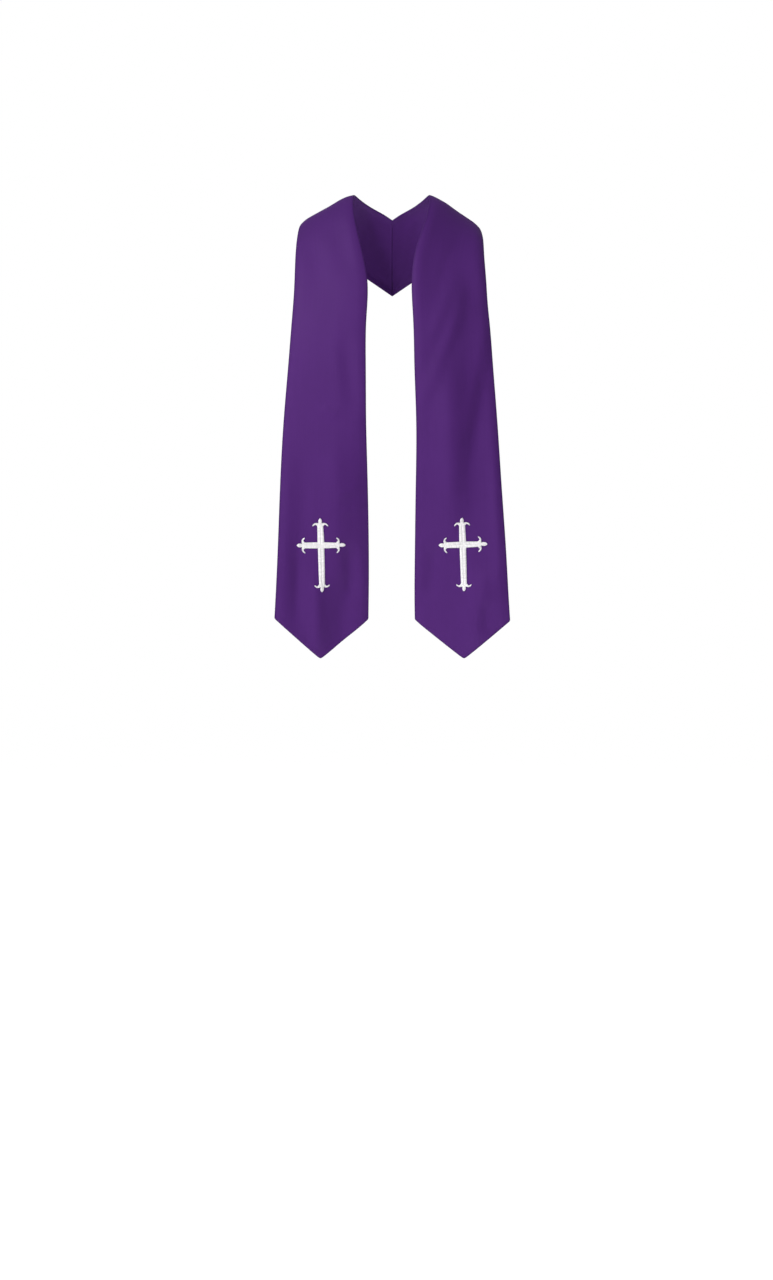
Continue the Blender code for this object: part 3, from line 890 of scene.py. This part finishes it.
def ramp(nodes, links, factor, low, high, dark, light):
    """From dark at low to light at high."""
    made = nodes.new("ShaderNodeValToRGB")
    made.color_ramp.elements[0].position = low
    made.color_ramp.elements[1].position = high
    made.color_ramp.elements[0].color = dark
    made.color_ramp.elements[1].color = light
    links.new(factor, made.inputs["Fac"])
    return made.outputs["Color"]


def multiplied(nodes, links, a, b):
    """Colour a times colour b."""
    made = nodes.new("ShaderNodeMix")
    made.data_type = "RGBA"
    made.blend_type = "MULTIPLY"
    made.inputs["Factor"].default_value = 1.0
    links.new(a, made.inputs["A"])
    links.new(b, made.inputs["B"])
    return made.outputs["Result"]


print("a light grey:", grey(0.8))

# %% The colour of the satin
PURPLE_DEEP, PURPLE_LIGHT = (0.0552, 0.0121, 0.1212, 1), (0.0596, 0.0133, 0.1300, 1)
DRIFTS_A_METRE = 14.0
STREAKS_A_METRE = (900, 11, 1)
# Painted shade: near the edges the purple is multiplied by this darker colour.
PAINTED_EDGE_SHADE = (0.70, 0.66, 0.74, 1)


def satin_colour(nodes, links, cut, drift):
    """Purple that drifts, times streaks along the threads, times painted shade at the edge by its
    tone.
    """
    streaks = noise(nodes, links, mapped(nodes, links, cut, STREAKS_A_METRE), 1.0, 2.0)
    base = ramp(nodes, links, drift, 0.3, 0.7, PURPLE_DEEP, PURPLE_LIGHT)
    lines = ramp(nodes, links, streaks, 0.25, 0.75, grey(0.93), grey(1))
    threads = multiplied(nodes, links, base, lines)
    edge = nodes.new("ShaderNodeAttribute")
    edge.attribute_name = "tone"
    # Painted shade along the edges, as strong as the tone attribute.
    painted_edge_shade = ramp(nodes, links, edge.outputs["Fac"], 0.0, 1.0, grey(1), PAINTED_EDGE_SHADE)
    return multiplied(nodes, links, threads, painted_edge_shade)


print("deep purple:", PURPLE_DEEP[:3])

# %% The weave of the satin
THREAD_MM, FLOAT_OVER = 0.30, 4.0
WEAVE_HEIGHT = 0.00004


def satin_weave(nodes, links, cut):
    """Bricks one thread wide and four long, each a little higher or lower than the next, turned to
    run down the cloth. They are threads that float over four others."""
    weave = nodes.new("ShaderNodeTexBrick")
    weave.offset = 0.4
    weave.inputs["Color1"].default_value = grey(1)
    weave.inputs["Color2"].default_value = grey(0.8)
    weave.inputs["Mortar"].default_value = grey(0)
    weave.inputs["Scale"].default_value = 1.0
    weave.inputs["Mortar Size"].default_value = 0.12
    weave.inputs["Mortar Smooth"].default_value = 1.0
    weave.inputs["Brick Width"].default_value = FLOAT_OVER
    weave.inputs["Row Height"].default_value = 1.0
    turn = nodes.new("ShaderNodeMapping")
    turn.inputs["Rotation"].default_value = (0, 0, math.pi / 2)
    turn.inputs["Scale"].default_value = (1 / (THREAD_MM * MM),) * 3
    links.new(cut, turn.inputs["Vector"])
    links.new(turn.outputs["Vector"], weave.inputs["Vector"])
    bump = nodes.new("ShaderNodeBump")
    bump.inputs["Strength"].default_value = 0.25
    bump.inputs["Distance"].default_value = WEAVE_HEIGHT
    links.new(weave.outputs["Color"], bump.inputs["Height"])
    return bump.outputs["Normal"]


print("threads to a centimetre:", round(10 / THREAD_MM, 1))

# %% The satin
GLOSS_TINT, SHEEN_TINT = (0.72, 0.38, 1.0, 1), (0.55, 0.22, 0.85, 1)


def satin_material():
    """The colour and the weave, with a broad tinted gloss that drifts a little."""
    made, nodes, links, shader = new_material("purple satin")
    flat = nodes.new("ShaderNodeUVMap")
    flat.uv_map = "FlatCut"
    cut = flat.outputs["UV"]
    drift = noise(nodes, links, mapped(nodes, links, cut, (1, 1, 1)), DRIFTS_A_METRE)
    links.new(satin_colour(nodes, links, cut, drift), shader.inputs["Base Color"])
    links.new(satin_weave(nodes, links, cut), shader.inputs["Normal"])
    worn = ramp(nodes, links, drift, 0.3, 0.7, grey(0.54), grey(0.58))
    links.new(worn, shader.inputs["Roughness"])
    shader.inputs["Specular IOR Level"].default_value = 0.30
    shader.inputs["Specular Tint"].default_value = GLOSS_TINT
    shader.inputs["Sheen Weight"].default_value = 0.06
    shader.inputs["Sheen Roughness"].default_value = 0.5
    shader.inputs["Sheen Tint"].default_value = SHEEN_TINT
    return made


satin = satin_material()
for piece in cloth.values():
    piece.data.materials.append(satin)
print("material:", satin.name)

# %% [markdown]
# ## White embroidery thread
#
# The thread is bright rayon or polyester: near white, with a gloss that runs along each stitch.
# Every stitch is a little lighter or darker at random, as painted light and shade for the slightly
# different angle at which each one lies. The tone is an attribute of the mesh, so the material only
# has to mix two whites by it.

# %% The thread
# Painted light and shade: each stitch's white lies at random between these two, for its angle.
WHITE_DEEP, WHITE_LIGHT = (0.70, 0.688, 0.70, 1), (0.93, 0.915, 0.93, 1)
PLIES_A_METRE, PLY_HEIGHT = 5200.0, 0.00003


def thread_material():
    """Two whites mixed by the stitch's tone, from -2 to 2, with the thread's plies as a bump."""
    made, nodes, links, shader = new_material("white embroidery thread")
    tone = nodes.new("ShaderNodeAttribute")
    tone.attribute_name = "tone"
    spread = nodes.new("ShaderNodeMapRange")
    spread.inputs["From Min"].default_value = -2.0
    spread.inputs["From Max"].default_value = 2.0
    links.new(tone.outputs["Fac"], spread.inputs["Value"])
    whites = ramp(nodes, links, spread.outputs["Result"], 0.0, 1.0, WHITE_DEEP, WHITE_LIGHT)
    links.new(whites, shader.inputs["Base Color"])
    place = mapped(nodes, links, nodes.new("ShaderNodeTexCoord").outputs["Object"], (1, 1, 1))
    ply = noise(nodes, links, place, PLIES_A_METRE, 2.0)
    bump = nodes.new("ShaderNodeBump")
    bump.inputs["Strength"].default_value = 0.2
    bump.inputs["Distance"].default_value = PLY_HEIGHT
    links.new(ply, bump.inputs["Height"])
    links.new(bump.outputs["Normal"], shader.inputs["Normal"])
    shader.inputs["Roughness"].default_value = 0.3
    shader.inputs["Specular IOR Level"].default_value = 0.85
    shader.inputs["Sheen Weight"].default_value = 0.15
    return made


thread = thread_material()
for piece in stitching.values():
    piece.data.materials.append(thread)
print("material:", thread.name)

# %% [markdown]
# ## What stands for what
#
# Each fine piece takes the place of one plain solid and rides on the stole's only body.

for side in OUT:
    panel, cross = cloth[side], stitching[side]
    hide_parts(f"panel_{side}")
    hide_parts(f"cross_{side}")
    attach(panel, "root")
    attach(cross, "root")

# %% [markdown]
# ## Floor, light and camera
#
# The stole hangs at the height of shoulders, 1.39 m above a pale floor. The floor fades out to the
# sides, and the camera sees pure white behind it, so there is no line between floor and background.
# The light itself comes from grey surroundings and four lamps. The key lamp is wide and stands high
# on the left in front, a small one beside the camera adds a little gloss, and a weak one on the
# right opens the shadows. The last is a very wide lamp that lies low and faces down: it whitens the
# floor and doesn't shine on the cloth. Small lamps alone would give harder shadows than soft boxes.

# %% The floor
FLOOR_BELOW = 1.39
FADES_FROM, FADES_TO = 1.2, 4.5
FLOOR_RADIUS, RINGS, SECTORS = 14.0, 12, 64
INNERMOST = 0.02


def floor_piece():
    """A flat disc: rings of corners at radius * share, closed at the middle by one polygon."""
    share = np.linspace(INNERMOST, 1, RINGS)[:, None]
    turn = np.linspace(0, 2 * math.pi, SECTORS, endpoint=False)[None]
    ring = np.stack([share * np.cos(turn), share * np.sin(turn)], axis=-1) * FLOOR_RADIUS
    corners = np.concatenate([ring, np.full(ring.shape[:2] + (1,), -FLOOR_BELOW)], axis=-1)
    numbers = np.arange(RINGS * SECTORS).reshape(RINGS, SECTORS)
    closed = np.concatenate([numbers, numbers[:, :1]], axis=1)
    return mesh_piece(
        "floor", corners.reshape(-1, 3), grid_faces(closed)[:, ::-1], caps=(numbers[:1],)
    )


def floor_material():
    """A matt near-white that drifts a little. It fades with the distance from the stole's origin,
    by a smooth step from solid at 1.2 m to nothing at 4.5 m."""
    made, nodes, links, shader = new_material("pale floor")
    place = nodes.new("ShaderNodeTexCoord").outputs["Object"]
    drift = noise(nodes, links, mapped(nodes, links, place, (1, 1, 1)), 0.6)
    pale = ramp(nodes, links, drift, 0.3, 0.7, grey(0.88), grey(0.91))
    links.new(pale, shader.inputs["Base Color"])
    shader.inputs["Roughness"].default_value = 0.9
    shader.inputs["Specular IOR Level"].default_value = 0.1
    reach = nodes.new("ShaderNodeVectorMath")
    reach.operation = "LENGTH"
    links.new(place, reach.inputs[0])
    fade = nodes.new("ShaderNodeMapRange")
    fade.interpolation_type = "SMOOTHSTEP"
    fade.inputs["From Min"].default_value = FADES_FROM
    fade.inputs["From Max"].default_value = FADES_TO
    fade.inputs["To Min"].default_value = 1.0
    fade.inputs["To Max"].default_value = 0.0
    links.new(reach.outputs["Value"], fade.inputs["Value"])
    links.new(fade.outputs["Result"], shader.inputs["Alpha"])
    return made


floor = floor_piece()
floor.data.materials.append(floor_material())
floor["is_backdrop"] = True
print("floor faces:", len(floor.data.polygons))

# %% The grey surroundings that light it, and the white that the camera sees
world = bpy.data.worlds.new("white studio")
bpy.context.scene.world = world
world.use_nodes = True
nodes, links = world.node_tree.nodes, world.node_tree.links
nodes["Background"].inputs["Color"].default_value = grey(0.27)
seen = nodes.new("ShaderNodeBackground")
seen.inputs["Color"].default_value = grey(1)
path, either = nodes.new("ShaderNodeLightPath"), nodes.new("ShaderNodeMixShader")
links.new(path.outputs["Is Camera Ray"], either.inputs["Fac"])
links.new(nodes["Background"].outputs[0], either.inputs[1])
links.new(seen.outputs[0], either.inputs[2])
links.new(either.outputs[0], nodes["World Output"].inputs["Surface"])
print("world:", world.name)

# %% The soft lamps
# Places are in metres, size is the disc's diameter in metres, and power is in watts.
Lamp = namedtuple("Lamp", "name place aim size power")
CHEST = (0, -0.1, -0.3)
LAMPS = (
    Lamp("key lamp", (-2.85, -2.55, 2.45), CHEST, 3.2, 165.0),
    Lamp("front lamp", (-1.1, -4.4, 0.2), CHEST, 0.5, 39.0),
    Lamp("fill lamp", (2.0, -3.4, 2.4), CHEST, 1.8, 24.0),
    Lamp("floor lamp", (0.0, 0.0, -0.8), (0.0, 0.0, -FLOOR_BELOW), 16.0, 560.0),
)


def hang_lamp(lamp):
    """A disc of light at its place, turned to face its aim, that the camera doesn't see."""
    disc = bpy.data.lights.new(lamp.name, "AREA")
    disc.shape = "DISK"
    disc.size = lamp.size
    disc.energy = lamp.power
    made = bpy.data.objects.new(lamp.name, disc)
    made.location = lamp.place
    towards = Vector(lamp.aim) - Vector(lamp.place)
    made.rotation_euler = towards.to_track_quat("-Z", "Y").to_euler()
    made.visible_camera = False
    bpy.context.scene.collection.objects.link(made)


for lamp in LAMPS:
    hang_lamp(lamp)
print("lamps, W:", {lamp.name: lamp.power for lamp in LAMPS})

# %% The camera
LENS_MM, SENSOR_MM = 81.08, 36.0
EYE, LOOKS_DOWN = (-0.0083, -4.11, -0.193), 6
SEES_TO = 60
camera = bpy.data.cameras.new("camera")
camera.lens = LENS_MM
camera.sensor_width = SENSOR_MM
camera.clip_end = SEES_TO
eye = bpy.data.objects.new("camera", camera)
eye.location = EYE
eye.rotation_euler = (math.radians(90 - LOOKS_DOWN), 0, 0)
bpy.context.scene.collection.objects.link(eye)
bpy.context.scene.camera = eye
bpy.context.scene.view_settings.view_transform = "Standard"
print("camera in front of the stole by, m:", -EYE[1])

# %% Compare the sizes, and finish
dressed_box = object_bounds()
for axis, name in enumerate("XYZ"):
    solid = [round(corner[axis], 4) for corner in cad_box]
    dressed = [round(corner[axis], 4) for corner in dressed_box]
    print(name, "solid", solid, "dressed", dressed)
